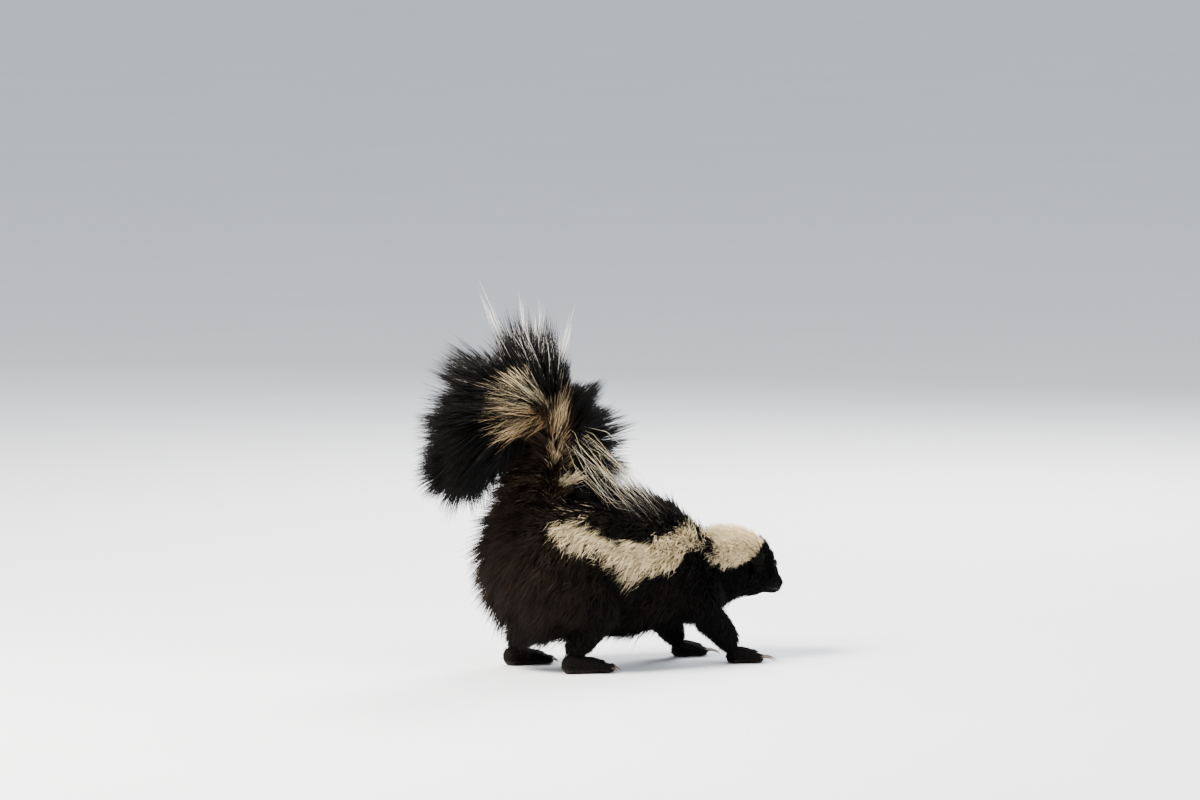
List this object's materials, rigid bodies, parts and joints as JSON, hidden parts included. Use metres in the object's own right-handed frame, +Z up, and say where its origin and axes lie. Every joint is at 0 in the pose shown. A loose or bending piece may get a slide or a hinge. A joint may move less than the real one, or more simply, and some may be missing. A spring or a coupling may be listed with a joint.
{
  "type": "striped skunk",
  "caption": "Life-size striped skunk that walks with its head low and its bushy tail raised and bent over backwards; black coat with a pale cap and stripes.",
  "frame": {"origin": "middle of the bounding box on the floor that the four soles stand on", "axes": "+X the way the animal walks, +Y to its left, +Z up"},
  "size_m": [0.4728, 0.1792, 0.4275],
  "materials": {
    "black_fur": "long coarse glossy hair over soft brown underfur",
    "nose_skin": "moist fine-grained bare skin",
    "foot_skin": "short dark hair above, bare pads and horn claws",
    "eye": "wet and glossy"
  },
  "bodies": {
    "root": {"ear_left": "black_fur", "ear_right": "black_fur", "eye_left": "eye", "eye_right": "eye", "forearm_left": "black_fur", "forearm_right": "black_fur", "forefoot_left": "foot_skin", "forefoot_right": "foot_skin", "head": "black_fur", "hindfoot_left": "foot_skin", "hindfoot_right": "foot_skin", "neck": "black_fur", "nose": "nose_skin", "shank_left": "black_fur", "shank_right": "black_fur", "tail_base": "black_fur", "tail_end": "black_fur", "tail_middle": "black_fur", "thigh_left": "black_fur", "thigh_right": "black_fur", "torso": "black_fur", "upper_arm_left": "black_fur", "upper_arm_right": "black_fur"}
  },
  "joints": []
}
